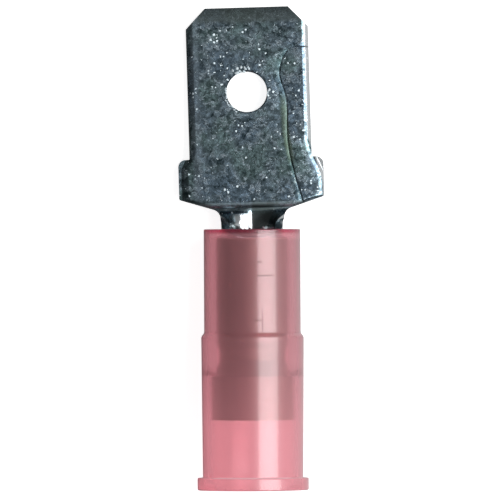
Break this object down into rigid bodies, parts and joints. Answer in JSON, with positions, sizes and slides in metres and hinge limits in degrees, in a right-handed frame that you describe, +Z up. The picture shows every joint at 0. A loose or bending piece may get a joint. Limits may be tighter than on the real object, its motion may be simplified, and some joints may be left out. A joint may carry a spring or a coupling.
{
  "type": "male spade terminal",
  "caption": "Crimp-on male spade terminal: a folded sheet-metal tab with a detent hole and stop shoulders, a rolled wire barrel, and a stepped, flanged nylon sleeve.",
  "frame": {"origin": "centre of the footprint, on the surface the terminal rests on", "axes": "+Y along the terminal from the wire's end to the tab's tip, +Z up, out of the tab's front face, +X to the right as seen from above with the tip away"},
  "size_m": [0.0076, 0.0251, 0.0065],
  "materials": {
    "tin_plated_brass": "matt tin plating with fine speckle",
    "ferrule_metal": "smooth drawn, tin-plated",
    "pink_nylon": "clear pink moulded nylon, glossy"
  },
  "bodies": {
    "root": {"tab_terminal": "tin_plated_brass", "grip_ferrule": "ferrule_metal", "nylon_sleeve": "pink_nylon"}
  },
  "joints": []
}
